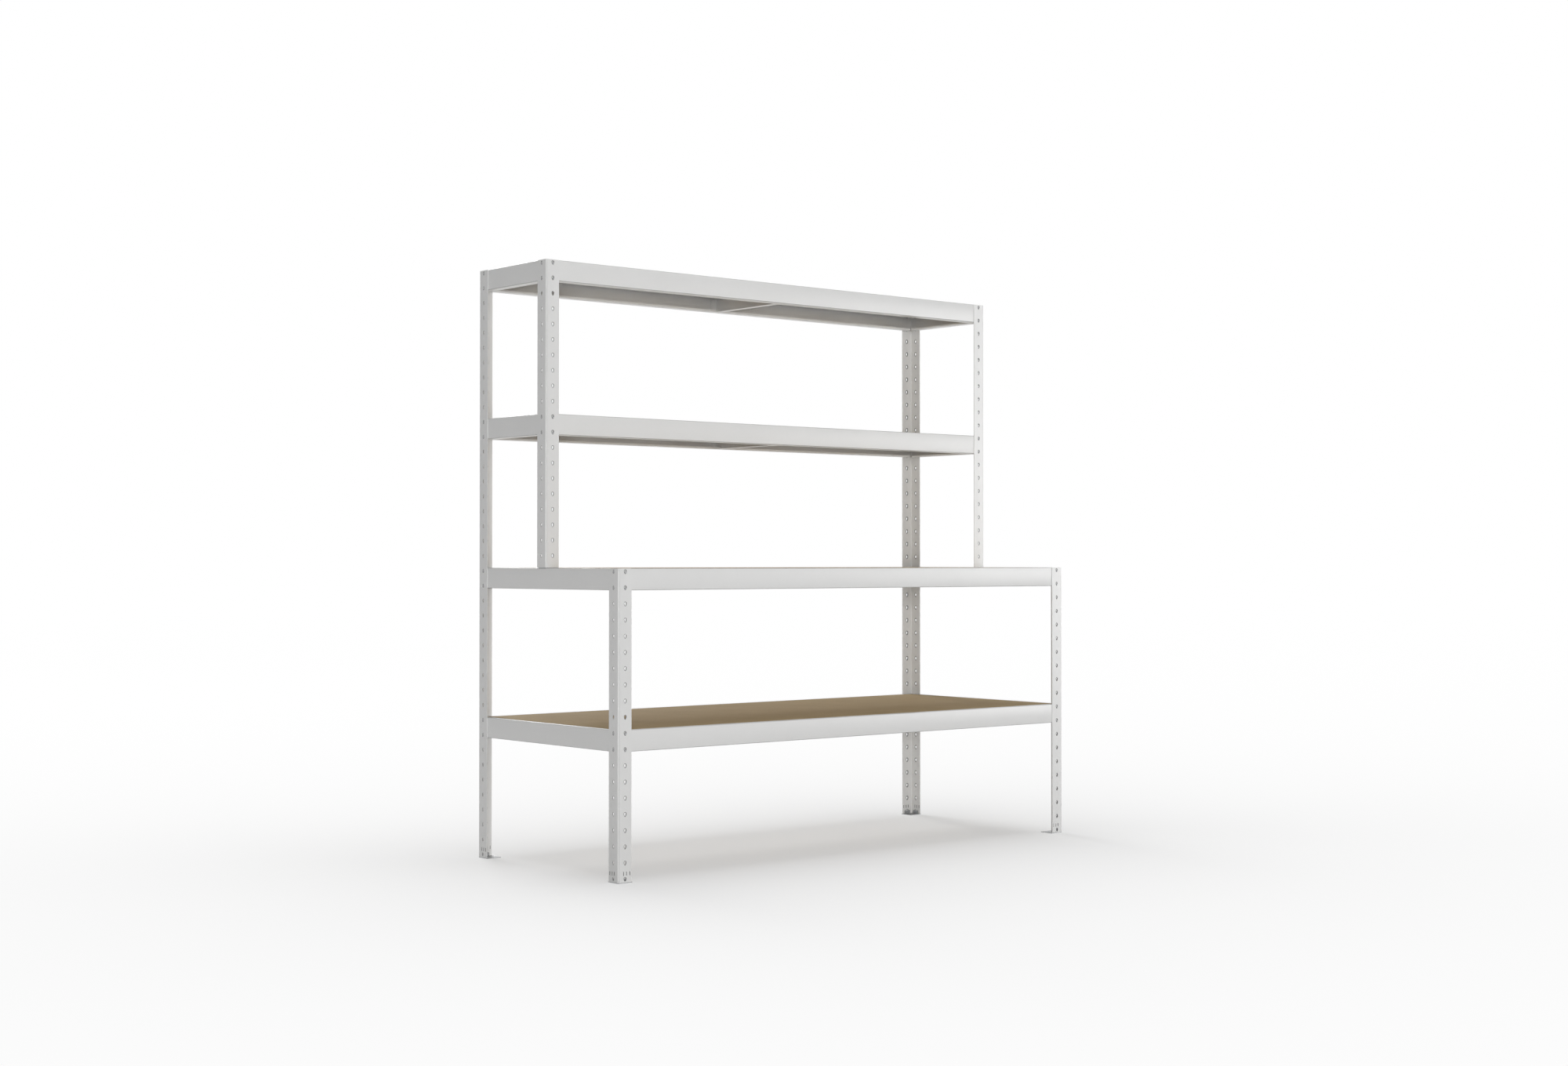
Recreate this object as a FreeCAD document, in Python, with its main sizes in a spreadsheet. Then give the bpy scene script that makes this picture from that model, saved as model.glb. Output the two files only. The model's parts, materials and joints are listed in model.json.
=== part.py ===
import FreeCAD, Part
import Sketcher
import math
import os

# Packing table on boltless angle posts: a full-depth lower shelf and worktop, and two half-depth
# shelves above the rear half.  Millimetres, +Z up, front towards -Y, origin on the floor at mid-plan.

sizes = {
    # plan, over the outer faces of the posts
    "overall_width": 2000,
    "overall_depth": 800,
    "shelf_depth": 400,
    # angle posts and their keyholes
    "post_flange": 50,
    "post_sheet": 2,
    "post_bend": 4,
    "hole_pitch": 50,
    "hole_end": 10,
    "hole_inset": 26,
    "rear_holes": 40,
    "front_holes": 20,
    "key_width": 7,
    "key_height": 11,
    "key_slot": 4.4,
    "key_crown_share": 0.55,
    "key_shoulder_share": 0.2,
    # levels, counted in keyholes from the lowest one
    "lower_step": 9,
    "middle_step": 29,
    # folded beams
    "beam_sheet": 1.5,
    "beam_edge": 8,
    "beam_base": 36,
    "beam_hem": 7,
    "beam_lip": 16,
    "beam_ledge": 20,
    "beam_end": 5,
    "mitre_near": 0.8,
    "mitre_far": 4,
    # rivets that hang the beams in the keyholes
    "rivet_play": 0.2,
    "rivet_head": 2,
    # loose boards
    "deck_thickness": 16,
    "deck_play": 2,
    # middle bar under each board
    "bar_sheet": 1.5,
    "bar_width": 25,
    "bar_tab": 25,
    "bar_play": 0.5,
    # feet
    "foot_sheet": 2,
    "foot_side": 54,
    "foot_inset": 0.5,
    "ear_width": 28,
    "ear_height": 14,
    "anchor_inset": 34,
    "anchor_bore": 7,
    # screws that hold the upper feet down on the worktop
    "screw_shank_share": 0.65,
    "screw_length": 13,
    "screw_head": 12,
    "screw_head_height": 3,
    "screw_play": 0.2,
    "screw_side_inset": 28,
    "screw_front_inset": 12,
    # how far every cut runs past the solid
    "overrun": 5,
}

doc = FreeCAD.newDocument("packing_table")
sheet = doc.addObject("Spreadsheet::Sheet", "Sizes")
for row, alias in enumerate(sizes, 1):
    sheet.set("A%d" % row, alias)
    sheet.set("B%d" % row, str(sizes[alias]))
    sheet.setAlias("B%d" % row, alias)
doc.recompute()


class Size:
    # a number together with the sheet formula that gives it
    def __init__(self, value, text):
        self.value = value
        self.text = text

    def __add__(self, other):
        return joined(self, "+", other, self.value + number(other))

    def __sub__(self, other):
        return joined(self, "-", other, self.value - number(other))

    def __mul__(self, other):
        return joined(self, "*", other, self.value * number(other))

    def __truediv__(self, other):
        return joined(self, "/", other, self.value / number(other))

    def __neg__(self):
        return self * -1


def number(thing):
    return thing.value if isinstance(thing, Size) else thing


def formula(thing):
    return thing.text if isinstance(thing, Size) else "(%r)" % thing


def joined(left, sign, right, value):
    return Size(value, "(%s %s %s)" % (left.text, sign, formula(right)))


def size(alias):
    return Size(sizes[alias], "Sizes." + alias)


def whole(length):
    return Size(math.floor(length.value), "floor(%s)" % length.text)


def bind(thing, prop, length):
    thing.setExpression(prop, length.text)


def place(thing, spot, turn):
    # spot is three sizes, turn an angle about Z or a whole rotation
    if not isinstance(turn, FreeCAD.Rotation):
        turn = FreeCAD.Rotation(FreeCAD.Vector(0, 0, 1), turn)
    thing.Placement = FreeCAD.Placement(FreeCAD.Vector(*[s.value for s in spot]), turn)
    for axis, along in zip("xyz", spot):
        bind(thing, "Placement.Base." + axis, along)


# sizes that several pieces share
overrun = size("overrun")
nothing = Size(0, "0")
half_width = size("overall_width") / 2
half_depth = size("overall_depth") / 2
pitch = size("hole_pitch")
post_sheet = size("post_sheet")
rear_length = size("hole_end") * 2 + pitch * (size("rear_holes") - 1)
front_length = size("hole_end") * 2 + pitch * (size("front_holes") - 1)
step_base = size("foot_sheet") + size("hole_end") * 2
beam_height = size("hole_end") + pitch + size("beam_edge")
neck = size("key_slot") - size("rivet_play") * 2
rivet_drop = (size("key_height") - neck) / 2 - size("rivet_play") * 2
screw_shank = size("anchor_bore") * size("screw_shank_share")
shelf_front = half_depth - size("shelf_depth")
levels = {
    "lower": step_base + pitch * size("lower_step"),
    "worktop": size("foot_sheet") + front_length,
    "middle": step_base + pitch * size("middle_step"),
    "top": size("foot_sheet") + rear_length,
}
fronts = {"lower": -half_depth, "worktop": -half_depth, "middle": shelf_front, "top": shelf_front}
upper_length = levels["top"] - levels["worktop"] - size("foot_sheet")


def new_body(label):
    body = doc.addObject("PartDesign::Body", label)
    body.Label = label
    return body


def new_sketch(body, role, lift=None):
    sketch = body.newObject("Sketcher::SketchObject", body.Name + "_sketch")
    plane = [f for f in body.Origin.OriginFeatures if f.Role == role][0]
    sketch.AttachmentSupport = [(plane, "")]
    sketch.MapMode = "FlatFace"
    if lift is not None:
        bind(sketch, "AttachmentOffset.Base.z", lift)
    return sketch


def hold(sketch, edge, end, kind, length):
    # ties one coordinate of a point to its formula
    index = sketch.addConstraint(Sketcher.Constraint(kind, -1, 1, edge, end, length.value))
    bind(sketch, "Constraints[%d]" % index, length)


def outline(sketch, points, bends=None):
    # A closed outline.  bends maps the number of a side to the centre of its arc, from which
    # the side turns anticlockwise if the third value is 1 and clockwise if it is -1.
    bends = bends or {}
    spots = [FreeCAD.Vector(x.value, y.value, 0) for x, y in points]
    edges = []
    for i, spot in enumerate(spots):
        following = spots[(i + 1) % len(spots)]
        if i in bends:
            across, up, way = bends[i]
            centre = FreeCAD.Vector(across.value, up.value, 0)
            ends = [spot, following][::way]
            angles = [math.atan2(p.y - centre.y, p.x - centre.x) for p in ends]
            ring = Part.Circle(centre, FreeCAD.Vector(0, 0, 1), (spot - centre).Length)
            edges.append(sketch.addGeometry(Part.ArcOfCircle(ring, angles[0], angles[1])))
        else:
            edges.append(sketch.addGeometry(Part.LineSegment(spot, following)))
    for i, edge in enumerate(edges):
        following = (i + 1) % len(edges)
        last = 1 if bends.get(i, (0, 0, 1))[2] == -1 else 2
        first = 2 if bends.get(following, (0, 0, 1))[2] == -1 else 1
        sketch.addConstraint(Sketcher.Constraint("Coincident", edge, last, edges[following], first))
        start = 2 if bends.get(i, (0, 0, 1))[2] == -1 else 1
        hold(sketch, edge, start, "DistanceX", points[i][0])
        hold(sketch, edge, start, "DistanceY", points[i][1])
        if i in bends:
            hold(sketch, edge, 3, "DistanceX", bends[i][0])


def rectangle(sketch, low, high):
    outline(sketch, [(low[0], low[1]), (high[0], low[1]), (high[0], high[1]), (low[0], high[1])])


def circle(sketch, spot, bore):
    centre = FreeCAD.Vector(spot[0].value, spot[1].value, 0)
    ring = sketch.addGeometry(Part.Circle(centre, FreeCAD.Vector(0, 0, 1), bore.value / 2))
    hold(sketch, ring, 3, "DistanceX", spot[0])
    hold(sketch, ring, 3, "DistanceY", spot[1])
    index = sketch.addConstraint(Sketcher.Constraint("Diameter", ring, bore.value))
    bind(sketch, "Constraints[%d]" % index, bore)


def extrude(body, kind, sketch, length, reverse=False, both_ways=False):
    feature = body.newObject("PartDesign::" + kind, body.Name + "_" + kind.lower())
    feature.Profile = sketch
    feature.SideType = "Symmetric" if both_ways else "One side"
    feature.Reversed = reverse
    bind(feature, "Length", length)
    return feature


# Posts: an angle with a rounded bend, its outer corner on the local Z axis.
def keyhole(sketch, low):
    # wide above, where the rivet's head goes in, and narrow below, where its neck drops to
    centre = size("hole_inset")
    half = size("key_width") / 2
    crown = half * size("key_crown_share")
    slot = size("key_slot") / 2
    rise = size("key_height") / 2
    shoulder = size("key_height") * size("key_shoulder_share")
    outline(sketch, [
        (centre - slot, low - rise),
        (centre + slot, low - rise),
        (centre + half, low + shoulder),
        (centre + crown, low + rise),
        (centre - crown, low + rise),
        (centre - half, low + shoulder),
    ])


def row_holes(length):
    # keyholes that fit on a post of this length, counted down from its top
    return whole((length - size("hole_end") - size("key_height") / 2) / pitch)


def lowest_hole(length):
    return length - size("hole_end") - pitch * row_holes(length)


def make_post(label, spot, turn, length):
    body = new_body(label)
    flange = size("post_flange")
    bend = size("post_bend")
    section = new_sketch(body, "XY_Plane")
    outline(section, [
        (bend, nothing), (flange, nothing), (flange, post_sheet), (bend, post_sheet),
        (post_sheet, bend), (post_sheet, flange), (nothing, flange), (nothing, bend),
    ], {3: (bend, bend, -1), 7: (bend, bend, 1)})
    extrude(body, "Pad", section, length)
    for role, reverse in (("XZ_Plane", False), ("YZ_Plane", True)):
        key = new_sketch(body, role)
        keyhole(key, lowest_hole(length))
        cut = extrude(body, "Pocket", key, post_sheet + overrun, reverse)
        rows = body.newObject("PartDesign::LinearPattern", label + "_rows")
        rows.Originals = [cut]
        rows.Direction = (key, ["V_Axis"])
        rows.Mode = "Spacing"
        bind(rows, "Offset", pitch)
        bind(rows, "Occurrences", row_holes(length) + 1)
        body.Tip = rows
    place(body, spot, turn)
    return body


# Feet: a plate under the post, with two ears that stand inside its flanges.
# On the floor the plate is square, and on the worktop it is cut off across the angle of the post.
def make_foot(label, spot, turn, hole, cut_off):
    body = new_body(label)
    inset = size("foot_inset")
    sheet_face = post_sheet + size("foot_sheet")
    plate = new_sketch(body, "XY_Plane")
    if cut_off:
        edge = size("post_flange")
        outline(plate, [
            (inset, inset), (edge, inset), (edge, sheet_face), (sheet_face, edge), (inset, edge),
        ])
    else:
        rectangle(plate, (inset, inset), (size("foot_side"), size("foot_side")))
    circle(plate, hole, size("anchor_bore"))
    extrude(body, "Pad", plate, size("foot_sheet"))
    near = size("hole_inset") - size("ear_width") / 2
    far = size("hole_inset") + size("ear_width") / 2
    ears = new_sketch(body, "XY_Plane")
    rectangle(ears, (near, post_sheet), (far, sheet_face))
    rectangle(ears, (post_sheet, near), (sheet_face, far))
    extrude(body, "Pad", ears, size("ear_height"))
    place(body, spot, turn)
    return body


# Beams: one folded sheet.  Local X runs along the beam, +Y into the shelf, and Z is zero at its top.
def make_beam(label, spot, turn, span):
    body = new_body(label)
    thick = size("beam_sheet")
    lip = size("beam_lip")
    reach = lip + size("beam_ledge")
    base = size("beam_base")
    drop = size("deck_thickness")
    hem = size("beam_hem") - beam_height
    section = new_sketch(body, "YZ_Plane")
    outline(section, [
        (nothing, nothing), (lip, nothing), (lip, -drop), (reach, -drop), (reach, -drop - thick),
        (lip - thick, -drop - thick), (lip - thick, -thick), (thick, -thick),
        (thick, thick - beam_height), (base - thick, thick - beam_height), (base - thick, hem),
        (base, hem), (base, -beam_height), (nothing, -beam_height),
    ])
    extrude(body, "Pad", section, span, both_ways=True)
    # the web stops short of the post's bend, and the folds open a little towards the inside
    waste = new_sketch(body, "XY_Plane")
    deep = reach + overrun
    end = span / 2
    web_end = end - size("beam_end")
    near = size("beam_end") - size("mitre_near")
    far = deep + size("mitre_far")
    for side in (1, -1):
        outline(waste, [
            ((end + overrun) * side, -overrun), (web_end * side, -overrun), (web_end * side, near),
            ((end - far) * side, deep), ((end + overrun) * side, deep),
        ])
    extrude(body, "Pocket", waste, beam_height + overrun)
    place(body, spot, turn)
    return body


# Boards lie loose between the lips, on the ledges.
def make_deck(label, spot, width, depth, holes):
    body = new_body(label)
    board = new_sketch(body, "XY_Plane")
    rectangle(board, (-width / 2, -depth / 2), (width / 2, depth / 2))
    pilot = screw_shank / 2 + size("screw_play")
    for hole in holes:
        across = hole[0] - spot[0]
        along = hole[1] - spot[1]
        rectangle(board, (across - pilot, along - pilot), (across + pilot, along + pilot))
    extrude(body, "Pad", board, size("deck_thickness"), reverse=True)
    place(body, spot, 0)
    return body


# Middle bars: a channel that carries the board, with a tongue and a tab at each end.
# It is drawn open to the right, and stands turned half round, open to the left.
def make_bar(label, spot, depth):
    body = new_body(label)
    thick = size("bar_sheet")
    left = -size("bar_width") / 2
    right = size("bar_width") / 2
    top = -size("deck_thickness")
    inner = left + thick
    channel = new_sketch(body, "XZ_Plane")
    outline(channel, [
        (left, -beam_height), (right, -beam_height), (right, thick - beam_height),
        (inner, thick - beam_height), (inner, top - thick), (right, top - thick), (right, top), (left, top),
    ])
    notch = size("beam_lip") + size("beam_ledge") + size("bar_play")
    extrude(body, "Pad", channel, depth - notch * 2, both_ways=True)
    seat = size("beam_hem") - beam_height
    tongue = new_sketch(body, "XY_Plane", seat)
    end = depth / 2 - size("beam_sheet") - size("bar_play")
    tab = left + size("bar_tab")
    outline(tongue, [
        (left, -end), (tab, -end), (tab, thick - end), (inner, thick - end),
        (inner, end - thick), (tab, end - thick), (tab, end), (left, end),
    ])
    under_ledge = top - size("beam_sheet") - size("bar_play")
    extrude(body, "Pad", tongue, under_ledge - seat)
    place(body, spot, 180)
    return body


# Rivets and screws: a six-sided head on a square shank.  One master each, and links gathered into a group.
def make_fastener(name, shank, shank_length, head, head_height):
    # the head stands on Z zero, as wide as given over its corners, and the shank hangs below it
    square = doc.addObject("Part::Box", name + "_shank")
    bind(square, "Length", shank)
    bind(square, "Width", shank)
    bind(square, "Height", shank_length)
    place(square, (-shank / 2, -shank / 2, -shank_length), 0)
    cap = doc.addObject("Part::Prism", name + "_head")
    cap.Polygon = 6
    bind(cap, "Circumradius", head / 2)
    bind(cap, "Height", head_height)
    fastener = doc.addObject("Part::Fuse", name)
    fastener.Base = square
    fastener.Tool = cap
    return fastener


def make_group(label, master, spots):
    links = []
    for spot, turn in spots:
        link = doc.addObject("App::Link", label + "_link")
        link.LinkedObject = master
        place(link, spot, turn)
        links.append(link)
    group = doc.addObject("Part::Compound", label)
    group.Label = label
    group.Links = links
    return group


# Where things stand: each corner has its outer point and the turn that faces its angle inwards.
def corners(front):
    return {
        "front_left": (-half_width, front, 0),
        "front_right": (half_width, front, 90),
        "rear_right": (half_width, half_depth, 180),
        "rear_left": (-half_width, half_depth, 270),
    }


parts = []
posts = {}
for name, (x, y, turn) in corners(-half_depth).items():
    posts[name] = (x, y, turn, nothing, rear_length if name.startswith("rear") else front_length)
for side in ("left", "right"):
    x, y, turn = corners(shelf_front)["front_" + side]
    posts["upper_" + side] = (x, y, turn, levels["worktop"], upper_length)
screw_spots = []
for name, (x, y, turn, ground, length) in posts.items():
    base = ground + size("foot_sheet")
    row, side = name.split("_")
    hole = (size("anchor_inset"), size("anchor_inset"))
    if row == "upper":
        # the screw goes down behind the front flange, inside the lip of the side beam
        across = size("screw_side_inset")
        along = size("screw_front_inset")
        hole = (across, along) if side == "left" else (along, across)
        screw_spots.append((x + across * (1 if side == "left" else -1), y + along, base))
    parts.append(make_post("%s_post_%s" % (row, side), (x, y, base), turn, length))
    parts.append(make_foot("%s_foot_%s" % (row, side), (x, y, ground), turn, hole, row == "upper"))

rivet_gap = size("rivet_play")
rivet = make_fastener("rivet", neck, post_sheet + rivet_gap, size("key_width") - rivet_gap * 2,
                      size("rivet_head"))
outward = FreeCAD.Rotation(FreeCAD.Vector(1, 0, 0), 90)
for level, top in levels.items():
    front = fronts[level]
    depth = half_depth - front
    middle = (half_depth + front) / 2
    wide = size("overall_width") - post_sheet * 2
    deep = depth - post_sheet * 2
    runs = {
        "front": (nothing, front, 0, 1, 0, wide),
        "right": (half_width, middle, -1, 0, 90, deep),
        "rear": (nothing, half_depth, 0, -1, 180, wide),
        "left": (-half_width, middle, 1, 0, 270, deep),
    }
    rivets = []
    for side, (x, y, in_x, in_y, turn, span) in runs.items():
        spot = (x + post_sheet * in_x, y + post_sheet * in_y, top)
        parts.append(make_beam("%s_%s_beam" % (level, side), spot, turn, span))
        reach = span / 2 + post_sheet - size("hole_inset")
        face_out = FreeCAD.Rotation(FreeCAD.Vector(0, 0, 1), turn).multiply(outward)
        for along in (reach, -reach):
            for row in (0, 1):
                height = top - size("hole_end") - pitch * row - rivet_drop
                rivets.append(((x + along * in_y - rivet_gap * in_x,
                                y + along * in_x - rivet_gap * in_y, height), face_out))
    parts.append(make_group(level + "_rivets", rivet, rivets))
    inside = (post_sheet + size("beam_lip") + size("deck_play")) * 2
    holes = screw_spots if level == "worktop" else []
    parts.append(make_deck(level + "_deck", (nothing, middle, top), size("overall_width") - inside,
                           depth - inside, holes))
    parts.append(make_bar(level + "_tie_bar", (nothing, middle, top), deep))
screw = make_fastener("screw", screw_shank, size("screw_length") + size("foot_sheet"),
                      size("screw_head"), size("screw_head_height"))
parts.append(make_group("upper_foot_screws", screw, [(spot, 0) for spot in screw_spots]))

doc.recompute()
faults = [o.Label for o in doc.Objects if "Invalid" in o.State or "Error" in o.State]
faults += [p.Label for p in parts if p.Shape.isNull() or not p.Shape.isValid()]
if faults:
    raise SystemExit("failed: " + ", ".join(faults))

os.makedirs("parts", exist_ok=True)
for part in parts:
    part.Shape.exportStep("parts/%s.step" % part.Label)
    box = part.Shape.BoundBox
    print("%-22s %2d solids %9.0f mm3  x %.1f %.1f  y %.1f %.1f  z %.1f %.1f" % (
        part.Label, len(part.Shape.Solids), part.Shape.Volume,
        box.XMin, box.XMax, box.YMin, box.YMax, box.ZMin, box.ZMax))
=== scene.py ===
import json
import math
import bmesh
import bpy
import numpy as np
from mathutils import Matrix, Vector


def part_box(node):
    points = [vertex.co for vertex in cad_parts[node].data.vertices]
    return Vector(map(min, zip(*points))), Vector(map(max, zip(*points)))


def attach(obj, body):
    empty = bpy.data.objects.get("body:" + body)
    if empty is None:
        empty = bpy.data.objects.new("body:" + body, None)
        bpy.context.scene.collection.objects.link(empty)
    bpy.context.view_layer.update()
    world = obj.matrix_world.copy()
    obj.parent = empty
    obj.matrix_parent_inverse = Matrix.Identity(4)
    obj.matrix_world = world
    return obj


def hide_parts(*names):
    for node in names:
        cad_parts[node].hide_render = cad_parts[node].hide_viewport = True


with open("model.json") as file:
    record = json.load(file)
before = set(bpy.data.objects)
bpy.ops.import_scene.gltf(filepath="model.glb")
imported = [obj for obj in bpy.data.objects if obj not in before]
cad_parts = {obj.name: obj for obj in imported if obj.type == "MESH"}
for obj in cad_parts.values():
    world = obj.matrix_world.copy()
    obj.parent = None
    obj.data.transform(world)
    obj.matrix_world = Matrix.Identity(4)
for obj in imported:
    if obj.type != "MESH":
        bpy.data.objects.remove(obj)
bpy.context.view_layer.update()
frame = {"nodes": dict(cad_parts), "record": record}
mm = 0.001


# Shader values

class Wire:
    # one output socket; sums and products of wires add Math nodes
    def __init__(self, tree, out=None):
        self.tree = tree
        self.out = out

    def add(self, kind, settings=None, inputs=None, outlet=0):
        node = self.tree.nodes.new("ShaderNode" + kind)
        for key, value in (settings or {}).items():
            setattr(node, key, value)
        for key, value in (inputs or {}).items():
            if isinstance(value, Wire):
                self.tree.links.new(value.out, node.inputs[key])
            else:
                node.inputs[key].default_value = value
        return Wire(self.tree, node.outputs[outlet])

    def sum(self, operation, left, right):
        return self.add("Math", {"operation": operation}, {0: left, 1: right})

    def __add__(self, other):
        return self.sum("ADD", self, other)

    def __sub__(self, other):
        return self.sum("SUBTRACT", self, other)

    def __rsub__(self, other):
        return self.sum("SUBTRACT", other, self)

    def __mul__(self, other):
        return self.sum("MULTIPLY", self, other)

    def __truediv__(self, other):
        return self.sum("DIVIDE", self, other)

    def __rtruediv__(self, other):
        return self.sum("DIVIDE", other, self)

    __radd__ = __add__
    __rmul__ = __mul__


def newMaterial(name):
    material = bpy.data.materials.new(name)
    material.use_nodes = True
    tree = material.node_tree
    tree.nodes.clear()
    return material, Wire(tree)


def finishMaterial(wire, shader):
    output = wire.tree.nodes.new("ShaderNodeOutputMaterial")
    wire.tree.links.new(shader.out, output.inputs["Surface"])


noiseMiddle = 0.5


def noise(wire, where, scale, detail=2.0, rough=0.5):
    return wire.add("TexNoise", {"noise_dimensions": "3D"},
                    {"Vector": where, "Scale": scale, "Detail": detail, "Roughness": rough})


def blendColour(wire, factor, low, high):
    # of a Mix node's many sockets, 6 and 7 take its colours, and outlet 2 gives the blend
    return wire.add("Mix", {"data_type": "RGBA"}, {"Factor": factor, 6: low, 7: high}, 2)


# Powder coat: light grey, a fine orange peel and a faint cloudiness in tone and gloss.
# The points' edge value is above 0 on punched rims, slits and folds, where it paints shade as a dark ring
# or line, and below 0 across the posts' bends, where it paints a pale highlight line.

coat = {
    "dark": (0.775, 0.775, 0.768, 1),
    "light": (0.825, 0.825, 0.818, 1),
    "cloudScale": 6.0,
    "cloudDetail": 3.0,
    "cloudShare": 0.7,
    "peelScale": 620.0,
    "peelDetail": 1.0,
    "peelDepth": 0.05 * mm,
    "grainScale": 142.6,
    "grainShare": 0.3,
    "grainHeight": 0.5,
    "bumpStrength": 0.35,
    "roughness": 0.30,
    "roughSpread": 0.08,
    "shadeColour": (0.06, 0.06, 0.058, 1),
    "shadeAmount": 1.7,
    "highlightColour": (0.96, 0.96, 0.955, 1),
}


def makeCoat():
    material, wire = newMaterial("lightGreyPowderCoat")
    where = wire.add("TexCoord", outlet="Object")
    cloud = noise(wire, where, coat["cloudScale"], coat["cloudDetail"])
    peel = noise(wire, where, coat["peelScale"], coat["peelDetail"])
    grain = noise(wire, where, coat["grainScale"])
    bump = wire.add("Bump", None, {
        "Strength": coat["bumpStrength"],
        "Distance": coat["peelDepth"],
        "Height": peel + grain * coat["grainHeight"],
    })
    tone = cloud * coat["cloudShare"] + grain * coat["grainShare"]
    paint = blendColour(wire, tone, coat["dark"], coat["light"])
    edge = wire.add("Attribute", {"attribute_name": "edge"}, outlet="Fac")
    # edge above 0 blends the paint towards a painted shade colour, and below 0 towards a painted
    # highlight colour
    shaded = blendColour(wire, edge * coat["shadeAmount"], paint, coat["shadeColour"])
    shader = wire.add("BsdfPrincipled", None, {
        "Base Color": blendColour(wire, 0 - edge, shaded, coat["highlightColour"]),
        "Roughness": coat["roughness"] + (grain - noiseMiddle) * coat["roughSpread"],
        "Normal": bump,
    })
    finishMaterial(wire, shader)
    return material


# Fibreboard: brown, with pressed fibres, a few pale flecks and slow cloudiness

board = {
    "deep": (0.360, 0.264, 0.139, 1),
    "mid": (0.540, 0.412, 0.237, 1),
    "pale": (0.680, 0.562, 0.365, 1),
    "cloudScale": 9.0,
    "cloudShare": 0.5,
    "detail": 4.0,
    "cloudRough": 0.6,
    "fibreScale": 260.0,
    "fibreStretch": (0.45, 1.0, 1.0),
    "fibreRough": 0.65,
    "fibreShare": 0.6,
    "fibreDepth": 0.08 * mm,
    "shade": 0.05,
    "fleckScale": 480.0,
    "fleckDetail": 1.0,
    "fleckRange": (0.62, 0.78),
    "fleckShare": 0.45,
    "fleckHeight": 0.3,
    "bumpStrength": 0.4,
    "roughness": 0.75,
    "roughSpread": 0.2,
    "gloss": 0.15,
}


def makeBoard():
    material, wire = newMaterial("brownFibreboard")
    where = wire.add("TexCoord", outlet="Object")
    drawn = wire.add("Mapping", None, {"Vector": where, "Scale": board["fibreStretch"]})
    cloud = noise(wire, where, board["cloudScale"], board["detail"], board["cloudRough"])
    fibre = noise(wire, drawn, board["fibreScale"], board["detail"], board["fibreRough"])
    fleck = noise(wire, drawn, board["fleckScale"], board["fleckDetail"])
    least, most = board["fleckRange"]
    pale = wire.add("MapRange", None, {"Value": fleck, "From Min": least, "From Max": most})
    tone = cloud * board["cloudShare"] + fibre * board["fibreShare"] - board["shade"]
    ground = blendColour(wire, tone, board["deep"], board["mid"])
    colour = blendColour(wire, pale * board["fleckShare"], ground, board["pale"])
    bump = wire.add("Bump", None, {
        "Strength": board["bumpStrength"],
        "Distance": board["fibreDepth"],
        "Height": fibre + pale * board["fleckHeight"],
    })
    shader = wire.add("BsdfPrincipled", None, {
        "Base Color": colour,
        "Roughness": board["roughness"] + (fibre - noiseMiddle) * board["roughSpread"],
        "Specular IOR Level": board["gloss"],
        "Normal": bump,
    })
    finishMaterial(wire, shader)
    return material


# Zinc plate on rivets, screws and feet

zinc = {
    "dull": (0.26, 0.265, 0.27, 1),
    "bright": (0.40, 0.405, 0.41, 1),
    "patchScale": 140.0,
    "patchDetail": 3.0,
    "scratchScale": 840.0,
    "scratchDepth": 0.03 * mm,
    "bumpStrength": 0.2,
    "metallic": 0.85,
    "roughness": 0.36,
    "roughSpread": 0.25,
}


def makeZinc():
    material, wire = newMaterial("brightZincPlate")
    where = wire.add("TexCoord", outlet="Object")
    patch = noise(wire, where, zinc["patchScale"], zinc["patchDetail"])
    scratch = noise(wire, where, zinc["scratchScale"])
    bump = wire.add("Bump", None, {
        "Strength": zinc["bumpStrength"],
        "Distance": zinc["scratchDepth"],
        "Height": scratch,
    })
    shader = wire.add("BsdfPrincipled", None, {
        "Base Color": blendColour(wire, patch, zinc["dull"], zinc["bright"]),
        "Metallic": zinc["metallic"],
        "Roughness": zinc["roughness"] + (patch - noiseMiddle) * zinc["roughSpread"],
        "Normal": bump,
    })
    finishMaterial(wire, shader)
    return material


finishes = {"paint": makeCoat(), "board": makeBoard(), "zinc": makeZinc()}
slotOf = {row["node"]: row["material_slot"] for row in frame["record"]["subparts"]}
bodies = frame["record"]["behaviour"]["bodies"]
bodyOf = {node: body for body, nodes in bodies.items() for node in nodes}
for node, thing in frame["nodes"].items():
    thing.data.materials.clear()
    thing.data.materials.append(finishes[slotOf[node]])
print("materials:", ", ".join(m.name for m in finishes.values()))


# Meshes

mesh = {
    "weldGap": 0.01 * mm,
    "speck": 0.001 * mm,
    "crease": math.radians(35),
    "bendSteps": 4,
    "bandLimit": 0.5,
}


def gridFaces(rows, columns, closed=False):
    # quads between the neighbours of a rows x columns array of points;
    # closed joins the last column to the first
    row = np.arange(rows - 1)[:, None]
    column = np.arange(columns if closed else columns - 1)[None, :]
    beside = (column + 1) % columns
    corners = [row * columns + column, row * columns + beside,
               (row + 1) * columns + beside, (row + 1) * columns + column]
    shape = np.broadcast(row, column).shape
    return np.stack([np.broadcast_to(c, shape) for c in corners], -1).reshape(-1, 4)


def joinParts(parts):
    # stacks several (points, faces) pairs into one
    points = np.vstack([p for p, f in parts])
    starts = np.cumsum([0] + [len(p) for p, f in parts[:-1]])
    faces = np.vstack([f + start for (p, f), start in zip(parts, starts)])
    return points, faces


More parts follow.
